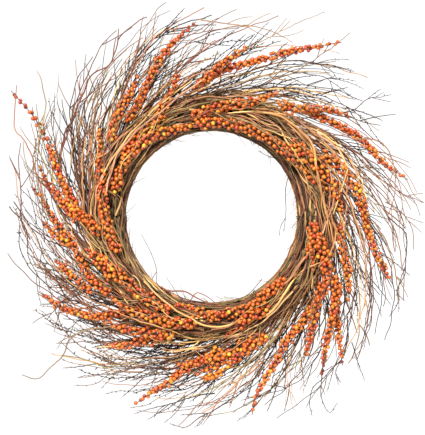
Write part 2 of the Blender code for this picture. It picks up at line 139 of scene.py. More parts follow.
class Strands:
    """Round stems in one mesh. Each point has its stem's tone, with painted shade on some pieces, and its
    place in the bark's grain.
    """

    def __init__(self):
        self.points, self.faces, self.tones, self.grains, self.kinds = [], [], [], [], []
        self.count = 0

    def add_shape(self, points, faces, tones, grains, kind=0):
        """Adds points and faces. kind is the place of their material in the list given to build."""
        self.points.append(points)
        self.faces.append(faces + self.count)
        self.tones.append(tones)
        self.grains.append(grains)
        self.kinds.append(np.full(len(faces), kind, np.int32))
        self.count += len(points)

    def add(self, path, radii, tone=(1, 1, 1), sides=5, closed=False, across=(0, 1, 0), grain=0.0, kind=0):
        """A tube along the path. Its section is laid out from a direction that it mostly runs across."""
        path = np.asarray(path, float)
        stations = len(path)
        radii = np.broadcast_to(radii, stations)
        steps = np.roll(path, -1, axis=0) - np.roll(path, 1, axis=0) if closed else np.gradient(path, axis=0)
        tangents = unit(steps)
        beside = unit(np.cross(tangents, across))
        before = np.cross(beside, tangents)
        turns = np.arange(sides) * 2 * pi / sides
        east, north = np.outer(radii, np.cos(turns)), np.outer(radii, np.sin(turns))
        points = path[:, None] + east[:, :, None] * beside[:, None] + north[:, :, None] * before[:, None]
        points = points.reshape(-1, 3)
        along = lengths_along(path) + grain
        grains = np.column_stack((east.ravel(), north.ravel(), np.repeat(along, sides)))
        ring = np.arange(sides)
        after = (ring + 1) % sides
        starts = np.arange(stations if closed else stations - 1)[:, None] * sides
        here, near = (starts + ring).ravel(), (starts + after).ravel()
        ahead, near_ahead = ((corner + sides) % (stations * sides) for corner in (here, near))
        faces = [np.column_stack((here, ahead, near_ahead)), np.column_stack((here, near_ahead, near))]
        if not closed:
            first, last = len(points), (stations - 1) * sides
            faces.append(np.column_stack((np.full(sides, first), ring, after)))
            faces.append(np.column_stack((np.full(sides, first + 1), last + after, last + ring)))
            ends = (path[0] - tangents[0] * radii[0] * 0.5, path[-1] + tangents[-1] * radii[-1] * 0.8)
            points = np.vstack((points, ends))
            grains = np.vstack((grains, [(0, 0, along[0]), (0, 0, along[-1])]))
        self.add_shape(points, np.vstack(faces), np.broadcast_to(tone, (len(points), 3)), grains, kind)

    def add_bud(self, place, heading, size, tone):
        """A small pointed bud with four sides."""
        heading = unit(heading)
        beside = unit(np.cross(heading, (0.3, 0.9, 0.2)))
        before = np.cross(beside, heading)
        waist = [heading * BUD_WAIST + side * BUD_HALF for side in (beside, before, -beside, -before)]
        points = place + size * np.array((heading * BUD_BASE, *waist, heading * BUD_TIP))
        self.add_shape(points, BUD_FACES, np.broadcast_to(tone, (6, 3)), points)

    def build(self, name, slot, *materials, node=None, body="wreath"):
        """Makes the piece, which rides on a body and may stand for a CAD node."""
        points = np.vstack(self.points)
        mesh = bpy.data.meshes.new(name)
        mesh.from_pydata(points, [], np.vstack(self.faces))
        tones = np.column_stack((np.vstack(self.tones), np.ones(len(points))))
        for key, kind, field, values in (
            ("tone", "FLOAT_COLOR", "color", tones),
            ("grain", "FLOAT_VECTOR", "vector", np.vstack(self.grains)),
        ):
            attribute = mesh.attributes.new(key, kind, "POINT")
            attribute.data.foreach_set(field, np.ascontiguousarray(values, np.float32).ravel())
        mesh.shade_smooth()
        for material in materials:
            mesh.materials.append(material)
        mesh.polygons.foreach_set("material_index", np.concatenate(self.kinds))
        piece = bpy.data.objects.new(name, mesh)
        bpy.context.scene.collection.objects.link(piece)
        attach(piece, body)
        if node:
            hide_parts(node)


# Paths


def on_ring(clock, radius, y):
    """Places given by clock angles in degrees, radii from the ring's centre and y."""
    turn = np.radians(clock)
    x, z = CENTRE[0] + radius * np.sin(turn), CENTRE[2] + radius * np.cos(turn)
    return np.stack((x, y + np.zeros_like(turn), z), axis=-1)


def evenly(line, step):
    """Points about a step apart on a line."""
    along = lengths_along(line)
    even = np.linspace(0, along[-1], max(4, round(along[-1] / step) + 1))
    return np.column_stack([np.interp(even, along, column) for column in line.T])


def smooth_line(knots, step):
    """Points about a step apart on a smooth line through the knots."""
    padded = np.vstack((2 * knots[0] - knots[1], knots, 2 * knots[-1] - knots[-2]))
    t = np.linspace(0, 1, 24, endpoint=False)[:, None]
    spans = [
        (2 * b + (c - a) * t + (2 * a - 5 * b + 4 * c - d) * t**2 + (3 * b - a - 3 * c + d) * t**3) / 2
        for a, b, c, d in zip(padded, padded[1:], padded[2:], padded[3:])
    ]
    return evenly(np.vstack((*spans, knots[-1:])), step)


def blurred(values, reach):
    """A running mean over reach values each way."""
    padded = np.pad(values, reach, mode="edge")
    return np.convolve(padded, np.ones(2 * reach + 1) / (2 * reach + 1), mode="valid")


def grow(rng, clock, radius, y, leans, length, kink, rise=0.0, step=0.006):
    """A twig's path, clockwise along the ring and outwards.

    leans are its angles to the ring's direction, in degrees outwards, at its start, middle and tip. It turns
    by up to kink degrees at its joints, left and right by turns. rise is how far forward it comes in a metre.
    """
    count = max(4, round(length / step))
    lean = np.interp(np.linspace(0, 2, count), (0, 1, 2), leans)
    joints = np.cumsum(rng.uniform(*JOINT_GAPS, size=2 + round(length / JOINT_GAPS[0])))
    sides = rng.uniform(0.2, 1.0, size=len(joints)) * np.where(np.arange(len(joints)) % 2, 1, -1)
    bends = sides[np.minimum(np.searchsorted(joints, step * np.arange(count)), len(joints) - 1)]
    lean = np.radians(lean + kink * blurred(bends, 1) + kink * 0.7 * blurred(rng.normal(size=count), 4))
    radii = radius + np.concatenate(([0], np.cumsum(step * np.sin(lean))))
    clocks = clock + np.degrees(np.concatenate(([0], np.cumsum(step * np.cos(lean) / radii[1:]))))
    waves = blurred(rng.normal(size=count + 1), 3) * 0.004
    return on_ring(clocks, radii, y - rise * step * np.arange(count + 1) + (waves - waves[0]))


def crowding(clock):
    """The share of the twigs that grow at a clock angle: all at the bottom, and two thirds near the top."""
    return 0.83 - 0.17 * cos(radians(clock - 5))


def length_to(tip, root, leans):
    """How long a twig must be for its tip to reach a radius."""
    slants = np.radians(np.interp((0.25, 0.75, 1.25, 1.75), (0, 1, 2), leans))
    return max(0.02, (tip - root) / np.sin(slants).mean())


def tapered(size, path, share):
    """Radii that shrink along a path from the size to a share of it."""
    return size * np.linspace(1, share, len(path))


def radius_of(path):
    return np.hypot(path[:, 0] - CENTRE[0], path[:, -1] - CENTRE[2])


def skin(radius):
    """y of the base's front surface at a radius, and level beyond the base."""
    inside = np.clip(1 - ((radius - BASE_RADIUS) / BASE_HALF) ** 2, 0.16, 1)
    return BASE_Y - BASE_HALF * np.sqrt(inside)


def points_of(node):
    mesh = NODES[node].data
    points = np.empty(len(mesh.vertices) * 3, np.float32)
    mesh.vertices.foreach_get("co", points)
    return points.reshape(-1, 3).astype(float)


def gaps(line, solid):
    """How far each point of a line of x and z lies from each point of a solid, seen from the front."""
    return np.hypot(line[:, :1] - solid[None, :, 0], line[:, 1:] - solid[None, :, 2])


def depth_in(node, line, reach=0.010):
    """y of the middle of a CAD solid along a line of x and z that it follows."""
    solid = points_of(node)
    depths = []
    for row in gaps(line, solid):
        near = solid[row < max(reach, np.partition(row, 6)[6]), 1]
        depths.append((near.min() + near.max()) / 2)
    return blurred(np.array(depths), 4)


def front_along(solid, line, reach=0.011):
    """y of the foremost points of a solid along a line of x and z."""
    fronts = np.where(gaps(line, solid) < reach, solid[None, :, 1], skin(radius_of(line))[:, None])
    return blurred(fronts.min(axis=1), 4)


def wavering(rng, path, size):
    """The path with small bends left and right, to and fro."""
    return path + size * np.column_stack([blurred(rng.normal(size=len(path)), 1) for _ in range(3)])


def stops_to_line(stops, step):
    """x and z along a smooth line through stops of clock angle and mm beyond the base's middle."""
    clocks = np.unwrap(np.radians([stop[0] for stop in stops]))
    radii = BASE_RADIUS + MM * np.array([stop[1] for stop in stops])
    knots = np.column_stack((CENTRE[0] + radii * np.sin(clocks), CENTRE[2] + radii * np.cos(clocks)))
    return smooth_line(knots, step)


# Materials


class Paint:
    """A material with a Principled shader, and the nodes that feed it."""

    def __init__(self, name, roughness, metallic=0.0, coat=0.0):
        self.material = bpy.data.materials.new(name)
        self.material.use_nodes = True
        self.nodes, self.links = self.material.node_tree.nodes, self.material.node_tree.links
        self.shader = self.nodes["Principled BSDF"].inputs
        self.shader["Roughness"].default_value = roughness
        self.shader["Metallic"].default_value = metallic
        self.shader["Coat Weight"].default_value = coat
        self.shader["Coat Roughness"].default_value = 0.25

    def place(self):
        return self.nodes.new("ShaderNodeTexCoord").outputs["Object"]

    def attribute(self, name, output):
        node = self.nodes.new("ShaderNodeAttribute")
        node.attribute_name = name
        return node.outputs[output]

    def noise(self, vector, scale, detail=3.0):
        """A noise whose grain is drawn out by the scale's three numbers."""
        mapping = self.nodes.new("ShaderNodeMapping")
        mapping.inputs["Scale"].default_value = scale
        self.links.new(vector, mapping.inputs["Vector"])
        noise = self.nodes.new("ShaderNodeTexNoise")
        noise.inputs["Scale"].default_value = 1.0
        noise.inputs["Detail"].default_value = detail
        self.links.new(mapping.outputs["Vector"], noise.inputs["Vector"])
        return noise.outputs["Fac"]

    def ramp(self, factor, *stops):
        ramp = self.nodes.new("ShaderNodeValToRGB")
        elements = ramp.color_ramp.elements
        while len(elements) < len(stops):
            elements.new(0.5)
        for element, (position, colour) in zip(elements, stops):
            element.position = position
            element.color = (*colour, 1)
        self.links.new(factor, ramp.inputs["Fac"])
        return ramp.outputs["Color"]

    def mix(self, kind, factor, first, second):
        """Mixes two colours by kind. Factor and colours may be values or sockets."""
        mix = self.nodes.new("ShaderNodeMix")
        mix.data_type = "RGBA"
        mix.blend_type = kind
        for key, value in ((0, factor), (6, first), (7, second)):
            if isinstance(value, bpy.types.NodeSocket):
                self.links.new(value, mix.inputs[key])
            else:
                mix.inputs[key].default_value = value
        return mix.outputs[2]

    def finish(self, colour, height=None, strength=0.0, distance=0.0):
        """Gives the shader its colour and a bump of some height, and returns the material."""
        self.links.new(colour, self.shader["Base Color"])
        if height:
            bump = self.nodes.new("ShaderNodeBump")
            bump.inputs["Strength"].default_value = strength
            bump.inputs["Distance"].default_value = distance
            self.links.new(height, bump.inputs["Height"])
            self.links.new(bump.outputs["Normal"], self.shader["Normal"])
        return self.material


def bark_material(name, roughness, streak, plain, speck_colour, coat=0.0):
    """Bark in each stem's own tone, which on some stems holds painted shade, streaked along it. plain is the
    share of it that has no specks.
    """
    paint = Paint(name, roughness, coat=coat)
    grain = paint.attribute("grain", "Vector")
    streaks = paint.noise(grain, streak, 5.0)
    shades = paint.ramp(
        streaks, (0.28, (0.44, 0.33, 0.26)), (0.50, (0.97, 0.93, 0.89)), (0.72, (1.5, 1.47, 1.42))
    )
    barked = paint.mix("MULTIPLY", 1.0, paint.attribute("tone", "Color"), shades)
    dots = paint.noise(grain, (1500, 1500, 700), 2.0)
    spots = paint.ramp(dots, (plain, (0, 0, 0)), (plain + 0.08, (1, 1, 1)))
    colour = paint.mix("MIX", spots, barked, (*speck_colour, 1))
    return paint.finish(colour, streaks, 0.6, 0.0006)


def berry_material():
    """Satin skin in each berry's own tone, which holds its painted shade, mottled towards red, with fine
    pores.
    """
    paint = Paint("berry_skin", 0.36, coat=0.35)
    place = paint.place()
    mottle = paint.noise(place, (260, 260, 260))
    shades = paint.ramp(mottle, (0.30, (0.78, 0.55, 0.45)), (0.52, (1, 1, 1)), (0.74, (1.12, 1.30, 1.25)))
    colour = paint.mix("MULTIPLY", 1.0, paint.attribute("tone", "Color"), shades)
    pores = paint.noise(place, (1400, 1400, 1400), 2.0)
    return paint.finish(colour, pores, 0.25, 0.0003)


def wire_material(name, coating, worn, metallic):
    """Coated wire, worn through in small patches."""
    paint = Paint(name, 0.48, metallic)
    patches = paint.noise(paint.attribute("grain", "Vector"), (300, 300, 120), 4.0)
    colour = paint.ramp(patches, (0.35, coating * 0.7), (0.58, coating), (0.70, worn))
    return paint.finish(colour, patches, 0.3, 0.0003)


STRAW_BARK = bark_material("straw_stems", 0.80, (700, 700, 26), 0.70, linear(206, 182, 138))
DARK_TWIG = bark_material("dark_twig_bark", 0.72, (600, 600, 60), 0.66, linear(150, 122, 104))
RED_TWIG = bark_material("red_twig_bark", 0.58, (500, 500, 24), 0.70, linear(196, 152, 116), coat=0.08)
TAN_VINE = bark_material("tan_vine_bark", 0.62, (420, 420, 16), 0.72, linear(232, 196, 146), coat=0.06)
STEM_TAPE = bark_material("stem_tape", 0.60, (500, 500, 200), 0.74, linear(150, 110, 76))
BERRY_SKIN = berry_material()
FRAME_COAT = wire_material("frame_wire_coat", linear(66, 50, 38), linear(132, 118, 102), 0.55)
BINDING_COAT = wire_material("binding_wire_coat", linear(58, 56, 36), linear(120, 112, 90), 0.45)


# The twig base


HANKS = 4
BASE_LAYERS = ((0.0008, 390, 1.0), (0.0038, 260, 0.24))  # their depth, twigs and brightness, which paints the deeper layer darker as shade
CORE_DEPTH = 0.008
COVER_STEMS = 230
COVER_LIFT = 0.009  # how far the highest stems of the cover lie off the base
EDGE_FIBRES = 60
WISP_DEPTH = 0.012  # how far in front of the base's middle the wisps lie


def build_base():
    """Two layers of twigs laid along the ring with a slight twist, round a core of crushed twigs. The deeper
    layer is painted darker and the core near black, as the shade inside the base.
    """
    rng = np.random.default_rng(11)
    hanks = [Strands() for _ in range(HANKS)]
    for depth, arcs, painted_layer_shade in BASE_LAYERS:
        for n in range(arcs):
            span = rng.uniform(35, 95)
            start = rng.uniform(0, 360)
            clocks = start + np.linspace(0, span, max(6, round(span / 5)))
            along = np.radians(clocks)
            phase = n * GOLDEN_ANGLE + (along - along[0]) * rng.uniform(-0.3, 0.9)
            phase = phase + 0.14 * np.sin(along * rng.uniform(3, 9) + rng.uniform(0, 6))
            size = rng.uniform(0.0007, 0.0017)
            reach = BASE_HALF - depth - size + 0.0008 * np.sin(along * rng.uniform(5, 14) + n)
            path = on_ring(clocks, BASE_RADIUS + reach * np.cos(phase), BASE_Y - reach * np.sin(phase))
            radii = tapered(size, path, rng.uniform(0.4, 0.8))
            # the deeper layer's lower brightness is painted shade
            tone = pick(rng, STRAW, 0.34, 1.45) * painted_layer_shade
            hanks[n % HANKS].add(path, radii, tone, 6, grain=rng.uniform(0, 5))
    for n, hank in enumerate(hanks):
        hank.build(f"base_twigs_{n + 1}", "base_twigs", STRAW_BARK, node=f"base_hank_{n + 1}")
    core = Strands()
    clocks = np.arange(0, 360, 3.0)
    swell = 1 + 0.05 * np.sin(np.radians(clocks) * 17) + 0.04 * np.sin(np.radians(clocks) * 29)
    ring = on_ring(clocks, BASE_RADIUS, BASE_Y)
    # the core's dark colour is painted shade
    core.add(ring, (BASE_HALF - CORE_DEPTH) * swell, CORE_PAINTED_SHADE, 16, closed=True)
    core.build("base_core", "base_twigs", STRAW_BARK)


def build_ring_cover():
    """Thin stems that lie over the base's front and leave it outwards. The lowest are painted darkest, as
    shade under the higher ones.
    """
    rng = np.random.default_rng(23)
    covers = [Strands() for _ in range(HANKS)]
    for n in range(COVER_STEMS):
        clock = n * 360 / COVER_STEMS + rng.uniform(-3, 3)
        radius = BASE_RADIUS + rng.uniform(-0.020, 0.026)
        leans = (rng.uniform(-14, 12), rng.uniform(-6, 22), rng.uniform(-4, 36))
        path = grow(rng, clock, radius, 0, leans, rng.uniform(0.06, 0.20), 13.0)
        lift = rng.uniform(0.0, COVER_LIFT)
        path[:, 1] = blurred(skin(radius_of(path)) - lift, 2)
        path[:, 1] -= 0.0012 * np.sin(np.linspace(0, rng.uniform(3, 12), len(path)) + n)
        size = rng.uniform(0.0006, 0.0019)
        bark = (STRAW, TAN_BARK, STRAW, RED_BARK)[rng.integers(4)]
        # painted shade: stems lying lower on the base are darker, as if shaded by those above them
        tone = pick(rng, bark, 0.6, 1.25) * (0.08 + 107 * lift)
        covers[n % HANKS].add(path, tapered(size, path, 0.5), tone, 6, grain=rng.uniform(0, 5))
    for n, cover in enumerate(covers):
        cover.build(f"ring_cover_{n + 1}", "base_twigs", STRAW_BARK)


def build_edge_fibres():
    """Short fibres and a few thin wisps that stand out of the base's inner edge."""
    rng = np.random.default_rng(31)
    fibres = Strands()
    for n in range(EDGE_FIBRES):
        clock = rng.uniform(0, 360)
        radius = BASE_RADIUS - BASE_HALF + rng.uniform(0.001, 0.004)
        y = BASE_Y + rng.uniform(-0.012, 0.010)
        leans = (rng.uniform(-60, 5), rng.uniform(-50, 0), rng.uniform(-60, 20))
        path = grow(rng, clock, radius, y, leans, rng.uniform(0.008, 0.026), 6.0, step=0.004)
        fibres.add(path, tapered(0.0004, path, 0.5), STRAW[n % len(STRAW)], 4)
    for thickness, stops in WISPS:
        line = stops_to_line(stops, 0.005)
        path = np.insert(line, 1, BASE_Y - WISP_DEPTH, axis=1)
        tone = (RED_BARK if thickness > 1.1 else DARK_BARK)[rng.integers(5)]
        fibres.add(path, tapered(0.65 * thickness * MM, path, 0.6), tone * 0.8)
        for k in range(2, len(path), 3):
            fibres.add_bud(path[k], path[k] - path[k - 1] + 0.002 * rng.normal(size=3), 0.0015, tone)
    fibres.build("edge_fibres", "base_twigs", STRAW_BARK)


# Twigs round the outside


DARK_SECTORS = 10
DARK_CLUMPS = 44
CURVED_SECTORS = 6
CURVED_TWIGS = 150


def add_buds(strands, rng, path, tone, spacing, size):
    """Buds on alternate sides of a twig, each at a slant to it."""
    headings = np.gradient(path, axis=0)
    for k in np.arange(2, len(path) - 1, spacing):
        side = np.cross(headings[k], (0, 1, 0)) * (1 if (k // spacing) % 2 else -1)
        lean = headings[k] + side * rng.uniform(0.3, 0.8) + 0.003 * rng.normal(size=3)
        size_here = size * rng.uniform(0.7, 1.2)
        strands.add_bud(path[k] + side * 0.08, lean, size_here, tone * rng.uniform(0.6, 1.0))


def add_side_twigs(strands, rng, path, size, tone, count, budded=False):
    """Side twigs that leave at a slant, on alternate sides, and turn back along their twig."""
    for n in range(count):
        k = int(len(path) * rng.uniform(0.3, 0.85))
        if k < 1 or k > len(path) - 2:
            continue
        east, _, north = path[k + 1] - path[k]
        slant = radians(rng.uniform(18, 40)) * (1 if n % 2 else -1)
        stations = rng.integers(4, 10)
        turns = slant * np.linspace(1, rng.uniform(0.2, 0.9), stations)
        forward = np.full(stations, rng.uniform(-0.0015, 0.0015))
        across, up = np.cos(turns), np.sin(turns)
        moves = np.column_stack((east * across + north * up, forward, north * across - east * up))
        side = np.vstack((path[k], path[k] + moves.cumsum(axis=0)))
        side = side[radius_of(side) < TWIG_LIMIT]
        if len(side) < 3:
            continue
        strands.add(side, size * np.linspace(0.75, 0.45, len(side)), tone, 4)
        if budded:
            add_buds(strands, rng, side, tone, 1, 0.0016)


def build_dark_twigs():
    """Clumps of fine dark branched twigs with buds, which fill the space behind and between the sprays."""
    rng = np.random.default_rng(47)
    sectors = [Strands() for _ in range(DARK_SECTORS)]
    for clump in range(DARK_CLUMPS):
        clock = clump * 360 / DARK_CLUMPS + rng.uniform(-3, 3)
        leans = np.array((rng.uniform(10, 20), rng.uniform(26, 38), rng.uniform(14, 40)))
        depth = rng.uniform(-0.036, -0.010)
        budded = rng.random() < 0.7
        sector = sectors[clump * DARK_SECTORS // DARK_CLUMPS]
        for n in range(round(rng.uniform(5, 8.5) * crowding(clock))):
            tip = np.clip(rng.normal(0.258, 0.026), 0.195, 0.300)
            root = BASE_RADIUS + rng.uniform(0.006, 0.027)
            own = leans + rng.normal(size=3) * (4, 5, 12)
            start, y = clock + rng.uniform(-5, 5), depth + rng.uniform(-0.008, 0.008)
            length = length_to(tip, root, own)
            path = grow(rng, start, root, y, own, length, 13.0, rng.uniform(-0.05, 0.08))
            path = path[radius_of(path) < TWIG_LIMIT]
            if len(path) < 5:
                continue
            size = rng.uniform(0.0007, 0.0012)
            tone = pick(rng, DARK_BARK, 0.22, 1.45)
            if rng.random() < 0.2:
                tone = pick(rng, PALE_TWIG, 0.7, 1.0)
            sector.add(path, tapered(size, path, 0.5), tone, grain=rng.uniform(0, 5))
            if budded:
                add_buds(sector, rng, path, tone, rng.integers(1, 3), rng.uniform(0.0020, 0.0029))
            add_side_twigs(sector, rng, path, size, tone, rng.integers(1, 4), budded)
    for n, sector in enumerate(sectors):
        sector.build(f"dark_twigs_{n + 1:02d}", "dark_twigs", DARK_TWIG, node=f"twig_branch_{n + 1:02d}")


def build_red_twigs():
    """Smoother, thicker, curved twigs, red-brown and tan."""
    rng = np.random.default_rng(59)
    sectors = [Strands() for _ in range(CURVED_SECTORS)]
    for n in range(CURVED_TWIGS):
        clock = n * 360 / CURVED_TWIGS + rng.uniform(-3, 3)
        if rng.random() > crowding(clock):
            continue
        leans = np.array((rng.uniform(4, 20), rng.uniform(22, 38), rng.uniform(8, 42)))
        tip = np.clip(rng.normal(0.262, 0.028), 0.190, 0.305)
        root = BASE_RADIUS + rng.uniform(0.000, 0.024)
        y, length = rng.uniform(-0.044, -0.018), length_to(tip, root, leans)
        path = grow(rng, clock, root, y, leans, length, 11.0, rng.uniform(-0.06, 0.06))
        path = path[radius_of(path) < TWIG_LIMIT]
        size = rng.uniform(0.0009, 0.0016)
        bark = RED_BARK if rng.random() < 0.55 else TAN_BARK if rng.random() < 0.5 else PALE_TWIG
        tone = pick(rng, bark, 0.6, 1.1)
        sector = sectors[n * CURVED_SECTORS // CURVED_TWIGS]
        sector.add(path, tapered(size, path, 0.45), tone, grain=rng.uniform(0, 5))
        if rng.random() < 0.5:
            add_side_twigs(sector, rng, path, size, tone, 2)
    for k, (bark, thickness, stops) in enumerate(LONG_TWIGS):
        sector = sectors[k % CURVED_SECTORS]
        line = stops_to_line(stops, 0.006)
        path = np.insert(line, 1, rng.uniform(-0.056, -0.040), axis=1)
        path = wavering(rng, path, 0.0012)
        size = thickness / 2 * MM * 1.15
        tone = pick(rng, bark, 0.65, 0.95)
        sector.add(path, tapered(size, path, 0.5), tone, grain=k)
        add_side_twigs(sector, rng, path, size * 0.8, tone, 3, bark is DARK_BARK)
        if bark is DARK_BARK:
            add_buds(sector, rng, path, tone, 2, 0.0018)
    for n, sector in enumerate(sectors):
        sector.build(f"curved_twigs_{n + 1}", "dark_twigs", RED_TWIG)


# Stops are clock angles in degrees and mm beyond the base's middle, from the butt to the tip.

WISPS = (  # into the hole, with their thickness in mm
    (0.9, ((207, -25), (219, -27), (225, -40), (236, -49), (255, -48))),
    (0.8, ((225, -40), (224, -30), (220, -14))),
    (0.8, ((199, -22), (207, -34), (216, -42))),
    (2.0, ((216, -27), (210, -28), (200, -37), (191, -33), (183, -28), (173, -23))),
    (1.4, ((194, -28), (191, -40), (183, -36), (178, -28))),
    (1.0, ((60, -22), (70, -38), (86, -44), (102, -45))),
    (0.8, ((91, -45), (98, -51), (106, -50))),
    (0.8, ((98, -23), (104, -25), (108, -18))),
    (1.0, ((48, -25), (43, -32), (35, -35))),
    (2.6, ((251, -18), (258, -25), (270, -29))),
    (0.9, ((141, -36), (153, -29), (163, -25))),
)

LONG_TWIGS = (  # that stand out of the mass, with their bark and thickness in mm
    (RED_BARK, 2.0, ((263, 111), (268, 121), (278, 126), (286, 137), (291, 143))),
    (RED_BARK, 2.2, (
        (274, 84), (284, 107), (288, 119), (292, 137), (294, 157), (299, 170), (301, 178), (304, 184))),
    (PALE_TWIG, 2.2, ((282, 74), (291, 113), (301, 128), (305, 139), (308, 155), (310, 173))),
    (RED_BARK, 2.6, (
        (286, 73), (294, 85), (300, 92), (308, 96), (315, 108), (321, 116), (326, 112), (330, 125),
        (333, 140), (339, 149), (342, 151))),
    (PALE_TWIG, 2.2, ((290, 65), (299, 74), (307, 81), (316, 94), (323, 93), (329, 93))),
    (RED_BARK, 2.0, ((295, 82), (308, 98), (319, 119), (326, 137), (328, 141), (333, 149))),
    (RED_BARK, 1.8, ((313, 43), (322, 62), (334, 99), (338, 123), (340, 133), (345, 154), (348, 163))),
    (DARK_BARK, 2.6, ((307, 34), (318, 53), (331, 86), (336, 100), (344, 117), (349, 126), (0, 139))),
    (DARK_BARK, 2.2, ((310, 38), (323, 67), (332, 95), (341, 115), (352, 124), (1, 124))),
    (RED_BARK, 2.4, ((302, 30), (314, 48), (329, 79), (340, 111), (347, 127), (358, 149))),
    (RED_BARK, 2.0, ((314, 34), (325, 53), (334, 75), (343, 97), (352, 111), (1, 117), (10, 125))),
    (DARK_BARK, 1.6, ((289, 81), (296, 98), (301, 115), (305, 126))),
    (PALE_TWIG, 1.6, ((354, 43), (6, 71), (13, 99), (22, 141), (29, 185))),
    (RED_BARK, 1.8, ((21, 51), (28, 79), (32, 106), (35, 140), (37, 180))),
    (PALE_TWIG, 1.8, ((356, 132), (2, 128), (8, 127), (14, 128), (20, 128), (25, 126))),
    (DARK_BARK, 1.4, ((20, 77), (30, 88), (38, 104), (44, 109), (50, 112))),
    (DARK_BARK, 1.5, ((49, 75), (53, 102), (53, 127), (56, 161))),
    (DARK_BARK, 1.4, ((26, 95), (33, 113), (38, 120), (42, 116))),
    (PALE_TWIG, 2.2, ((61, 79), (65, 107), (70, 119), (77, 118), (83, 112), (89, 101))),
    (PALE_TWIG, 2.0, ((69, 80), (79, 102), (83, 125), (86, 152))),
    (RED_BARK, 1.6, ((75, 87), (82, 118), (86, 123), (92, 128))),
    (PALE_TWIG, 2.4, (
        (215, 28), (223, 64), (228, 89), (229, 115), (227, 140), (227, 168), (227, 189), (230, 201))),
    (PALE_TWIG, 1.6, ((227, 140), (223, 125), (217, 114), (211, 109))),
    (DARK_BARK, 1.5, ((227, 69), (232, 83), (232, 114), (237, 131))),
    (DARK_BARK, 1.6, ((274, 132), (270, 117), (263, 100), (256, 95), (251, 87), (246, 87))),
    (DARK_BARK, 1.6, ((273, 139), (268, 120), (264, 115), (258, 117), (252, 112), (247, 118))),
    (RED_BARK, 2.0, ((243, 53), (241, 89), (239, 115), (238, 127))),
    (DARK_BARK, 1.8, ((179, 100), (185, 105), (191, 120), (195, 132), (196, 148))),
    (DARK_BARK, 1.8, ((173, 110), (179, 126), (184, 141), (187, 155), (191, 152))),
    (DARK_BARK, 1.5, ((200, 70), (207, 91), (213, 118), (215, 142), (219, 162))),
    (DARK_BARK, 1.8, ((90, 101), (95, 127), (101, 133), (106, 137), (111, 134), (114, 142), (119, 142))),
    (PALE_TWIG, 2.2, ((92, 79), (98, 100), (104, 116), (110, 131), (114, 143))),
    (PALE_TWIG, 1.8, ((85, 98), (89, 122), (94, 136), (99, 141))),
    (DARK_BARK, 1.7, ((106, 58), (111, 85), (117, 106), (122, 120), (130, 130), (135, 136))),
    (DARK_BARK, 1.5, ((132, 119), (134, 136), (137, 171))),
    (DARK_BARK, 1.6, ((130, 104), (135, 121), (141, 133), (143, 152))),
    (DARK_BARK, 1.8, ((126, 91), (135, 121), (143, 129), (149, 133), (152, 149), (153, 168))),
    (DARK_BARK, 1.6, ((140, 102), (148, 144), (149, 176), (146, 170))),
    (PALE_TWIG, 1.6, ((145, 58), (154, 97), (156, 124), (157, 152))),
    (DARK_BARK, 1.8, ((148, 76), (160, 109), (168, 121), (174, 131))),
    (PALE_TWIG, 2.4, ((151, 42), (162, 57), (173, 77), (180, 93), (185, 105))),
    (RED_BARK, 2.2, ((161, 69), (171, 89), (178, 115), (183, 129))),
)

VINES = (  # with their thickness in mm; those with a CAD solid come first, in its order
    (4.2, ((20, 8), (34, 22), (52, 26), (64, 14), (82, 9), (97, 22), (108, 34))),
    (3.8, ((126, -4), (140, 2), (151, 9), (164, 2), (178, 6), (193, -5), (209, -14), (226, -18))),
    (3.8, ((282, 2), (300, 8), (318, 9), (334, 14), (346, 27), (356, 42))),
    (3.4, ((20, 13), (30, 24), (37, 20), (50, 26), (60, 16), (72, 10))),
    (2.8, ((9, -2), (26, 15), (41, 32), (53, 48), (64, 61), (74, 69), (84, 70))),
    (2.6, ((20, 11), (37, 31), (50, 47), (59, 58), (69, 65), (80, 68))),
    (2.8, ((15, 6), (30, 3), (37, 8), (45, 0), (60, -2))),
    (3.6, ((35, 33), (50, 40), (60, 53), (68, 56), (80, 46))),
    (3.0, ((30, 30), (44, 36), (58, 44), (70, 50), (84, 44), (94, 40))),
    (3.2, ((60, -4), (75, -7), (88, -10), (100, -7))),
    (3.6, ((85, 8), (95, 26), (105, 26), (115, 16))),
    (2.6, ((76, -14), (90, -6), (104, 0), (116, 10), (126, 26))),
    (3.0, ((66, 30), (80, 26), (94, 12), (104, 4), (112, -6))),
    (3.0, ((120, -2), (130, -9), (140, -7), (150, 8), (160, 3), (165, -9))),
    (2.8, ((175, 6), (185, -2), (193, -10), (205, -17), (220, -21), (245, -14))),
    (2.8, ((183, 38), (195, 48), (200, 51))),
    (2.6, ((160, 24), (174, 20), (188, 26), (204, 20))),
    (2.6, ((282, 8), (288, 3), (300, 6))),
    (3.0, ((288, 42), (295, 35), (302, 24), (310, 21), (325, 21), (335, 26))),
    (3.2, ((262, 24), (276, 22), (292, 14), (312, 12), (330, 20), (344, 34), (354, 52))),
    (2.6, ((274, -24), (279, -20), (284, -2))),
    (2.6, ((222, 12), (236, 20), (250, 24), (266, 34), (276, 50))),
    (2.6, ((334, 4), (346, 10), (358, 18), (12, 26), (26, 30))),
    (3.2, ((26, 16), (36, 19), (46, 25), (51, 28), (56, 22), (62, 15), (70, 10), (77, 11), (90, 1))),
    (2.6, ((60, 56), (65, 55), (70, 56), (75, 45), (82, 32), (89, 22))),
    (3.0, ((112, 20), (122, -2), (130, -4), (138, -3), (146, 3), (153, 8), (160, 4), (170, 2))),
    (2.6, ((117, 8), (120, 6), (125, -2), (134, -5), (142, 0), (149, -2))),
    (2.4, ((135, 19), (139, 21), (145, 30), (151, 38))),
    (2.4, ((274, 16), (284, 9), (284, 4), (283, -8), (279, -19), (273, -23))),
)

STEM_ROOT, STEM_SWEEP = 16, 0.55  # where a spray that starts further out is wired on, as in the CAD

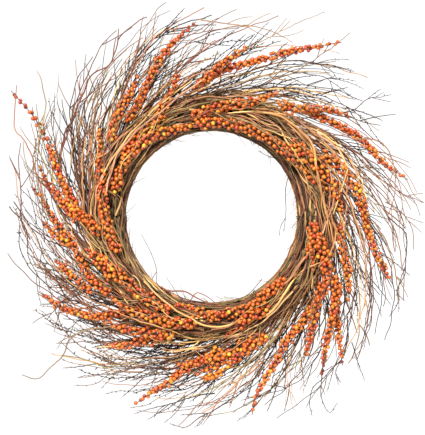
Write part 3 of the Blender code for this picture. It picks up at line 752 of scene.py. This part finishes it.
SPRAYS = (  # those with a CAD solid come first, in its order
    ((357, 43), (5, 60), (15, 79), (20, 92), (25, 110), (31, 133), (36, 158)),
    ((40, 48), (48, 61), (54, 73), (60, 86), (66, 96), (72, 106), (79, 134)),
    ((84, 60), (92, 70), (98, 80), (103, 93), (107, 108), (110, 124)),
    ((117, 53), (125, 68), (130, 85), (134, 104), (138, 129)),
    ((130, 41), (140, 49), (149, 57), (156, 76), (162, 96), (166, 114), (168, 134)),
    ((176, 38), (184, 56), (191, 76), (195, 96), (199, 116), (202, 138)),
    ((222, 33), (226, 50), (229, 68), (234, 84), (238, 98), (246, 118)),
    ((233, 32), (243, 42), (253, 47), (260, 53), (268, 72), (276, 93), (279, 109)),
    ((268, 30), (276, 47), (284, 70), (289, 87), (293, 100), (299, 138), (302, 186)),
    ((318, 30), (326, 40), (333, 57), (339, 76), (344, 94), (350, 112), (355, 128)),
    ((352, 31), (356, 40), (0, 52), (5, 70), (9, 85), (12, 98)),
    ((30, 36), (36, 41), (41, 53), (46, 70), (50, 83), (54, 94)),
    ((60, 28), (68, 46), (76, 55), (84, 65), (90, 70)),
    ((93, 30), (100, 36), (107, 48), (113, 61), (121, 79)),
    ((115, 43), (123, 58), (130, 73), (136, 88), (141, 106), (145, 126)),
    ((120, 32), (131, 46), (138, 63), (142, 76), (147, 93)),
    ((158, 29), (167, 40), (174, 54), (181, 67), (186, 76)),
    ((204, 43), (210, 56), (214, 72), (220, 91)),
    ((197, 26), (206, 34), (214, 46), (220, 55), (226, 63)),
    ((307, 28), (314, 40), (320, 51), (326, 59), (332, 76)),
    ((46, 1), (58, 8), (66, 18), (75, 25), (82, 30), (89, 37)),
    ((99, 2), (106, 12), (113, 26), (119, 37), (126, 43)),
    ((249, -10), (260, -5), (272, 1), (283, 8), (291, 18), (298, 30), (308, 54)),
    ((188, 1), (200, 9), (212, 16), (222, 26), (231, 32)),
    ((305, 4), (318, 1), (328, 1), (334, 13), (340, 29), (347, 57)),
    ((348, -6), (358, -1), (6, 6), (14, 14), (21, 25), (28, 51)),
    ((203, -6), (216, -4), (230, 0), (242, 7), (252, 16)),
    ((284, -9), (296, -7), (308, -7), (320, -10), (335, -17), (350, -18)),
    ((350, -18), (10, -17), (30, -15), (45, -12), (60, -6), (72, 2)),
    ((130, -14), (142, -18), (155, -11), (168, -12), (181, -9)),
    ((93, -6), (103, -3), (112, 1), (118, 14)),
    ((148, 5), (157, 0), (165, 6), (173, 19)),
    ((155, 36), (165, 45), (171, 57), (176, 70)),
    ((176, 70), (180, 77), (184, 84)),
    ((172, 43), (182, 54), (190, 63), (193, 74)),
    ((175, -9), (188, -13), (203, -16)),
    ((238, 12), (247, 20), (256, 34)),
    ((238, 50), (243, 60), (249, 71), (255, 84)),
    ((262, 10), (268, 25), (271, 38), (275, 52), (280, 65)),
    ((268, 40), (272, 51), (276, 66), (279, 76), (281, 89), (286, 107)),
    ((258, 53), (263, 73), (268, 91)),
)


# Vines and sprays on the front


BUTT_STATIONS = 4  # over which a vine's end narrows and sinks behind its neighbours
BUTT_SINK = 0.004
CROSSING_TWIGS = 84
ROOT_STATIONS = 5  # over which a crossing twig comes out of the mass
ROOT_SINK = 0.006


def build_vines(solid):
    """Thick golden stems that lie over the base and the sprays, most of them with one or two thinner ones."""
    rng = np.random.default_rng(71)
    for n, (thickness, stops) in enumerate(VINES):
        node = f"tan_vine_{n + 1}"
        node = node if node in NODES else None
        line = stops_to_line(stops, 0.005)
        if node:
            depths = depth_in(node, line)
        else:
            depths = front_along(solid, line, 0.008) - 0.0010 + 0.0020 * (n % 3)
        path = wavering(rng, np.insert(line, 1, depths, axis=1), 0.0008)
        butt = np.clip(np.arange(len(path)) / BUTT_STATIONS, 0, 1)
        path[:, 1] += BUTT_SINK * (1 - butt)
        knots = 1 + 0.10 * blurred(rng.normal(size=len(path)), 1)
        radii = tapered(0.45 * thickness * MM, path, 0.62) * knots * (0.45 + 0.55 * butt)
        vine = Strands()
        vine.add(path, radii, TAN_BARK[n % len(TAN_BARK)] * rng.uniform(0.9, 1.1), 8, grain=n)
        for k in range(0 if node else rng.integers(1, 3)):
            first = rng.integers(0, len(path) // 4 + 1)
            last = len(path) - rng.integers(0, len(path) // 4 + 1)
            stretch = path[first:last]
            away = 0.0035 * np.sin(np.linspace(0, rng.uniform(1, 5), len(stretch)) + rng.uniform(0, 6))
            outward = (stretch - CENTRE) / radius_of(stretch)[:, None]
            strand = stretch + (away + rng.uniform(-0.004, 0.004))[:, None] * outward * (1, 0, 1)
            strand[:, 1] += rng.uniform(0.0, 0.0024)
            tone = pick(rng, TAN_BARK, 0.55, 0.95)
            vine.add(strand, radii[first:last] * rng.uniform(0.35, 0.65), tone, 6, grain=n + k)
        vine.build(f"vine_{n + 1:02d}", "tan_vines", TAN_VINE, node=node)


def build_crossing_twigs(solid):
    """Thin winding twigs that pass over the sprays and vines near the base."""
    rng = np.random.default_rng(101)
    pieces = [Strands() for _ in range(2)]
    for n in range(CROSSING_TWIGS):
        clock = n * 360 / CROSSING_TWIGS + rng.uniform(-4, 4)
        radius = BASE_RADIUS + rng.uniform(-0.012, 0.034)
        leans = (rng.uniform(-20, 24), rng.uniform(-4, 36), rng.uniform(-10, 44))
        path = grow(rng, clock, radius, 0, leans, rng.uniform(0.06, 0.17), 20.0, step=0.005)
        path[:, 1] = front_along(solid, path[:, (0, 2)], 0.007) - rng.uniform(-0.001, 0.0025)
        sunk = 1 - np.minimum(np.arange(len(path)), ROOT_STATIONS) / ROOT_STATIONS
        path[:, 1] += ROOT_SINK * sunk
        size = rng.uniform(0.0006, 0.0011)
        tone = pick(rng, (TAN_BARK, PALE_TWIG, RED_BARK)[rng.integers(3)], 0.6, 1.0)
        pieces[n % 2].add(path, tapered(size, path, 0.5), tone, 6, grain=n)
        add_side_twigs(pieces[n % 2], rng, path, size * 0.8, tone, 1)
    for n, piece in enumerate(pieces):
        piece.build(f"crossing_twigs_{n + 1}", "tan_vines", RED_TWIG)


def berry_shapes(rng, count):
    """Slightly uneven round berries of radius 1, each with a dimple and a dark calyx at +Z."""
    ball = bmesh.new()
    bmesh.ops.create_icosphere(ball, subdivisions=2, radius=1)
    points = np.array([vert.co for vert in ball.verts])
    faces = np.array([[vert.index for vert in face.verts] for face in ball.faces])
    ball.free()
    shapes = []
    for _ in range(count):
        lumps = 1 + 0.05 * np.sin(points @ rng.normal(size=3) * 2.2 + rng.uniform(0, 6))
        shape = points * lumps[:, None] * (1, 1, rng.uniform(0.90, 1.06))
        height = points[:, 2]
        shape[height > 0.99] *= 0.80
        shades = np.where(height > 0.99, 1.0, np.where(height < -0.99, 0.4, 0.0))
        shapes.append((shape, shades))
    return shapes, faces


def turned(points, heading, roll):
    """The points with their +Z turned to the heading."""
    heading = unit(heading)
    first = unit(np.cross(heading, (0.31, 0.17, 0.93) if abs(heading[2]) < 0.9 else (1, 0, 0)))
    second = np.cross(heading, first)
    x = first * cos(roll) + second * sin(roll)
    y = second * cos(roll) - first * sin(roll)
    return points @ np.array((x, y, heading))


BERRY_RADIUS = 0.0033
SPRAY_HALF = 0.0088  # a spray's half thickness where it is full
TIP_HALF = 0.0036
OUTER_SLIMMING = 0.26  # share of its thickness that a spray loses outside the base
BERRY_PITCH = 0.00150  # along the stem from one berry to the next, where the spray is full
CLUSTER_LENGTH = 0.017
TIP_CLUSTER_LENGTH = 0.011
FULL_SPRAYS = {12: 1.25, 20: 1.35, 21: 1.15}  # how much thicker than the others some sprays are
LOOSE_TIPS = {8: 0.55}  # the share of its length where a spray's berries thin out to small clusters
STEM_STEP = 0.002


def spray_path(n, stops, solid):
    """The stem's path, from its root on the base to the spray's tip, and where along it the berries start."""
    clock, reach = stops[0]
    climb = max(0, reach - STEM_ROOT)
    full = ((clock - STEM_SWEEP * climb, STEM_ROOT), *stops) if climb else stops
    line = stops_to_line(full, STEM_STEP)
    node = f"berry_spray_{n + 1:02d}"
    if node in NODES:
        depths = depth_in(node, line)
    else:
        node, depths = None, np.maximum(front_along(solid, line) + 0.002, CAD_BOX[0][1] + 0.004)
    first = stops_to_line(stops, STEM_STEP)[0]
    start = np.linalg.norm(line - first, axis=1).argmin()
    return np.insert(line, 1, depths, axis=1), start, node


def thickness_at(n, along, share, slimness):
    """Half a spray's thickness: it swells in clusters, slims outside the base and narrows at its ends."""
    half = TIP_HALF + (SPRAY_HALF - TIP_HALF) * min(1, 3 * (1 - share)) ** 0.8
    half *= slimness * (1 + 0.16 * sin(2 * pi * along / CLUSTER_LENGTH + n))
    return half * min(1, 0.6 + along / 0.012) * FULL_SPRAYS.get(n, 1)


def build_sprays(solid):
    """Berries wound up the wired stems, each on a short stalk, with painted shade, darker and redder, on the
    side that faces its stem.
    """
    rng = np.random.default_rng(83)
    shapes, berry_faces = berry_shapes(rng, 7)
    for n, stops in enumerate(SPRAYS):
        path, start, node = spray_path(n, stops, solid)
        step = np.linalg.norm(path[1] - path[0])
        tangents = unit(np.gradient(path, axis=0))
        beside = unit(np.cross(tangents, (0, 1, 0)))
        before = np.cross(beside, tangents)
        spray = Strands()
        slimness = 1 - OUTER_SLIMMING * np.clip((radius_of(path) - BASE_RADIUS - 0.012) / 0.055, 0, 1)
        hue = (1, 1 + rng.uniform(-0.10, 0.10), 1)
        length = (len(path) - 1 - start) * step
        along, turn = 0.002, rng.uniform(0, 6)
        while along < length:
            share = along / length
            k = min(start + round(along / step), len(path) - 1)
            half = thickness_at(n, along, share, slimness[k])
            size = BERRY_RADIUS * rng.uniform(0.86, 1.10) * (1 - 0.12 * share)
            ring = max(half - size, 0.0014) * rng.uniform(0.86, 1.10)
            loose = share > LOOSE_TIPS.get(n, 0.9) and stops[-1][1] > 60
            if loose and sin(2 * pi * along / TIP_CLUSTER_LENGTH + n) < 0.1:
                along += 0.0012
                continue
            if rng.random() < 0.06:
                ring += 0.0025
            out = beside[k] * cos(turn) + before[k] * sin(turn)
            middle = path[k] + out * ring
            heading = out + tangents[k] * rng.uniform(0.1, 0.9) + 0.25 * rng.normal(size=3)
            shape, calyx = shapes[rng.integers(len(shapes))]
            around = turned(shape * size, heading, rng.uniform(0, 6))
            # painted shade: each berry is darkened and reddened on its side towards the stem, where shade
            # falls between the berries
            painted_stem_side_shade = np.clip(0.98 + 0.9 * (around @ out) / size, 0.25, 1)[:, None] ** (1, 1.4, 1.5)
            colour = BERRY_COLOURS[rng.choice(len(BERRY_COLOURS), p=BERRY_SHARES)] * rng.uniform(0.85, 1.08)
            tones = colour * hue * painted_stem_side_shade * (1 - calyx[:, None]) + BERRY_END * calyx[:, None]
            points = middle + around
            spray.add_shape(points, berry_faces, tones, points)
            if share > 0.35 or k % 2 == 0:
                foot = path[max(k - 2, 0)]
                stalk = np.array((foot, (foot + middle) / 2 - tangents[k] * 0.0004, middle))
                spray.add(stalk, 0.0004, STEM_BROWN, 3, across=(0.2, 0.7, 0.4), kind=1)
            along += BERRY_PITCH * (SPRAY_HALF / (ring + size)) ** 1.15 * rng.uniform(0.8, 1.2)
            turn += GOLDEN_ANGLE + rng.uniform(-0.35, 0.35)
        stem = np.vstack((path[::3], path[-1] + tangents[-1] * rng.uniform(0.001, 0.006)))
        spray.add(stem, tapered(0.0012, stem, 0.5), STEM_BROWN, 6, grain=n, kind=1)
        spray.build(f"berry_spray_{n + 1:02d}_looks", "berries", BERRY_SKIN, STEM_TAPE, node=node)


# The wire frame, its binding and the hanger


WELD_HALF = 0.0026  # half a weld's length
WELD_SHAPE = np.array((0.0005, 0.0016, 0.0019, 0.0016, 0.0005))  # its radius from end to end
BINDING_HALF = 0.0006
BINDING_END = 0.011  # how far the twisted ends stand out
HANGER_HALF = 0.001
NECK_LENGTH = 0.0145  # from the pivot to the foot of the loop
EYE_TURNS = 3


def build_frame():
    for name, radius in (("inner", INNER_RADIUS), ("outer", OUTER_RADIUS)):
        ring = Strands()
        ring.add(on_ring(np.arange(0, 360, 2.5), radius, CENTRE[1]), FRAME_WIRE / 2, sides=12, closed=True)
        ring.build(f"ring_wire_{name}", "frame_wire", FRAME_COAT, node=f"frame_ring_{name}")
    for n in range(4):
        node = f"frame_cross_wire_{n + 1}"
        low, high = box_of(node)
        away = radius_of(points_of(node))
        thickness = high[1] - low[1]
        clock = (n + 0.5) * 90
        bar = Strands()
        path = on_ring(np.full(9, clock), np.linspace(away.min(), away.max(), 9), (low[1] + high[1]) / 2)
        bar.add(path, thickness / 2 * np.array((0.92, 1, 1, 1, 1, 1, 1, 1, 0.92)), sides=10)
        for radius in (INNER_RADIUS, OUTER_RADIUS):
            radii = radius + np.linspace(-WELD_HALF, WELD_HALF, len(WELD_SHAPE))
            weld = on_ring(np.full(len(radii), clock), radii, CENTRE[1] + thickness * 0.62)
            bar.add(weld, WELD_SHAPE, sides=8)
        bar.build(f"cross_wire_{n + 1}", "frame_wire", FRAME_COAT, node=node)


def tight_round(turns, away):
    """Radius and y of a wire pulled tight round the base and both ring wires."""
    rounds = (
        (BASE_RADIUS, BASE_Y, BASE_HALF + away),
        (INNER_RADIUS, CENTRE[1], FRAME_WIRE / 2 + away),
        (OUTER_RADIUS, CENTRE[1], FRAME_WIRE / 2 + away),
    )
    places = []
    for turn in turns:
        across, forward = cos(turn), -sin(turn)
        radius, y, size = max(rounds, key=lambda r: r[0] * across + r[1] * forward + r[2])
        places.append((radius + size * across, y + size * forward))
    return np.array(places)


def build_bindings():
    """Two turns of thin wire round base and frame, with twisted ends at the back."""
    rng = np.random.default_rng(97)
    for n in range(6):
        middle = (n + 0.5) * 60
        turns = np.linspace(-0.6 * pi, 3.5 * pi, 110)
        places = tight_round(turns, 0.0011)
        clocks = middle + np.linspace(-1.1, 1.1, len(turns))
        binding = Strands()
        path = on_ring(clocks, places[:, 0], places[:, 1])
        binding.add(path, BINDING_HALF, sides=6, across=(0.1, 0.2, 0.9))
        for side in (0, pi):
            twist = np.linspace(0, 5 * pi, 26) + side
            out = np.linspace(0, BINDING_END, 26)
            end = on_ring(np.full(26, middle), BASE_RADIUS + 0.0007 * np.cos(twist), CENTRE[1] + 0.0034)
            end[:, 0] += out * cos(radians(middle)) + 0.0004 * np.sin(twist)
            end[:, 2] -= out * sin(radians(middle))
            end[:, 1] += 0.0006 * np.sin(twist) + rng.uniform(0, 0.0004)
            binding.add(end, BINDING_HALF, sides=6)
        binding.build(f"binding_{n + 1}", "binding_wire", BINDING_COAT, node=f"binding_wire_{n + 1}")


def build_hanger():
    """A teardrop loop of wire whose two ends are twisted together and wound round the outer ring wire."""
    low, high = box_of("hanger_loop")
    pivot = np.array(frame["joints"][0]["pos_m"])
    right = np.array((1.0, 0, 0))
    top = np.array((0, 0, HANGER_HALF))  # the hook bears on the inside of the loop, at the origin
    reach = np.linalg.norm(top - pivot)
    up = unit(top - pivot)
    back = np.cross(right, up)
    hanger = Strands()
    turns = np.linspace(0, 2 * pi, 61)[:-1]
    heights = (reach + NECK_LENGTH) / 2 + (reach - NECK_LENGTH) / 2 * np.cos(turns)
    half_width = (high[0] - low[0] - 2 * HANGER_HALF) / 2
    widths = half_width * np.sin(turns) * (0.5 + 0.5 * np.cos(turns)) ** 0.35 * 1.2
    hanger.add(pivot + heights[:, None] * up + widths[:, None] * right, HANGER_HALF, sides=10, closed=True)
    for side in (0, pi):
        twist = np.linspace(0, 5 * pi, 48)[:, None] + side
        rise = np.linspace(FRAME_WIRE / 2 + 0.0014, NECK_LENGTH + 0.001, 48)[:, None]
        neck = pivot + rise * up + 0.0009 * (np.cos(twist) * right + np.sin(twist) * back)
        hanger.add(neck, HANGER_HALF * 0.9, sides=8, across=(0.2, 1, 0.1))
    winds = np.linspace(0, EYE_TURNS * 2 * pi, 70)[:, None]
    coil = FRAME_WIRE / 2 + 0.0006 + HANGER_HALF
    eye = pivot + coil * (np.cos(winds) * up + np.sin(winds) * back)
    eye[:, 0] += np.linspace(-0.0024, 0.0024, len(winds))
    hanger.add(eye, HANGER_HALF * 0.9, sides=8, across=(1, 0, 0))
    hanger.build("hanger_wire", "frame_wire", FRAME_COAT, node="hanger_loop", body="hanger")


# Stage, light and camera


def build_stage():
    """A pale floor that curves up into a round wall, far enough out for any view."""
    wall, floor, fillet, top, sides = 9.0, -3.6, 1.5, 2.8, 96
    profile = [(wall - fillet, floor)]
    for turn in np.linspace(0, pi / 2, 9)[1:]:
        profile.append((wall - fillet + fillet * sin(turn), floor + fillet * (1 - cos(turn))))
    profile.append((wall, top))
    points = [(0.0, 0.0, floor)]
    for radius, height in profile:
        for turn in np.arange(sides) * 2 * pi / sides:
            points.append((radius * cos(turn), radius * sin(turn), height))
    faces = [(0, 1 + k, 1 + (k + 1) % sides) for k in range(sides)]
    for ring in range(len(profile) - 1):
        for k in range(sides):
            a, b = 1 + ring * sides + k, 1 + ring * sides + (k + 1) % sides
            faces.append((a, a + sides, b + sides, b))
    mesh = bpy.data.meshes.new("studio_sweep")
    mesh.from_pydata(points, [], faces)
    mesh.shade_smooth()
    mesh.materials.append(studio_paint(floor))
    sweep = bpy.data.objects.new("studio_sweep", mesh)
    bpy.context.scene.collection.objects.link(sweep)
    sweep.visible_shadow = False  # it stands round the lamps as well as round the wreath


def studio_paint(floor):
    """Pale matt paint, a little mottled, and darker far behind the wreath and low on the wall."""
    paint = Paint("studio_paint", 0.9)
    place = paint.place()
    spread = paint.nodes.new("ShaderNodeSeparateXYZ")
    paint.links.new(place, spread.inputs["Vector"])
    grey = paint.ramp(paint.noise(place, (0.8, 0.8, 0.8), 2.0), (0.3, (0.98,) * 3), (0.7, (1.0,) * 3))
    for axis, low, high, first, last in (("Y", 2.0, 7.5, 0.92, 0.50), ("Z", floor, floor + 1.6, 0.50, 1.0)):
        share = paint.nodes.new("ShaderNodeMapRange")
        share.inputs["From Min"].default_value = low
        share.inputs["From Max"].default_value = high
        paint.links.new(spread.outputs[axis], share.inputs["Value"])
        fade = paint.ramp(share.outputs["Result"], (0.0, (first,) * 3), (1.0, (last,) * 3))
        grey = paint.mix("MULTIPLY", 1.0, grey, fade)
    return paint.finish(grey)


def build_lights():
    world = bpy.data.worlds.new("studio_air")
    world.use_nodes = True
    air = world.node_tree.nodes["Background"].inputs
    air["Color"].default_value = (1.0, 0.99, 0.98, 1)
    air["Strength"].default_value = 0.02
    bpy.context.scene.world = world
    for name, strength, angle, aim in (
        ("key", 6.1, 10, (0.30, 0.86, -0.62)),
        ("fill", 0.6, 40, (-0.75, 0.9, -0.42)),
        ("back", 2.8, 30, (-0.45, -1.0, -0.5)),
    ):
        light = bpy.data.lights.new(name, "SUN")
        light.energy = strength
        light.angle = radians(angle)
        lamp = bpy.data.objects.new(name, light)
        lamp.rotation_mode = "QUATERNION"
        lamp.rotation_quaternion = Vector(aim).to_track_quat("-Z", "Y")
        bpy.context.scene.collection.objects.link(lamp)


def build_camera():
    """A straight front view that holds the wreath with a narrow margin."""
    distance = 1.9
    front = -0.045  # y of the plane whose size the picture keeps
    tall = 0.6264  # metres of that plane that the picture's height takes in
    aside, below = 0.0014, 0.001  # from the ring's centre to the middle of the picture
    camera = bpy.data.cameras.new("front_camera")
    camera.sensor_width = 36
    camera.lens = 18 / (tall / 2 / distance)
    place = bpy.data.objects.new("front_camera", camera)
    place.location = (CENTRE[0] + aside, front - distance, CENTRE[2] - below)
    place.rotation_euler = (pi / 2, 0, 0)
    bpy.context.scene.collection.objects.link(place)
    bpy.context.scene.camera = place
    bpy.context.scene.view_settings.view_transform = "Standard"


def main():
    solid = np.vstack([points_of(name) for name in NODES if name.startswith(("berry_spray", "base_hank"))])
    build_base()
    build_ring_cover()
    build_edge_fibres()
    build_dark_twigs()
    build_red_twigs()
    build_vines(solid)
    build_crossing_twigs(solid)
    build_sprays(solid)
    build_frame()
    build_bindings()
    build_hanger()
    build_stage()
    build_lights()
    build_camera()


main()
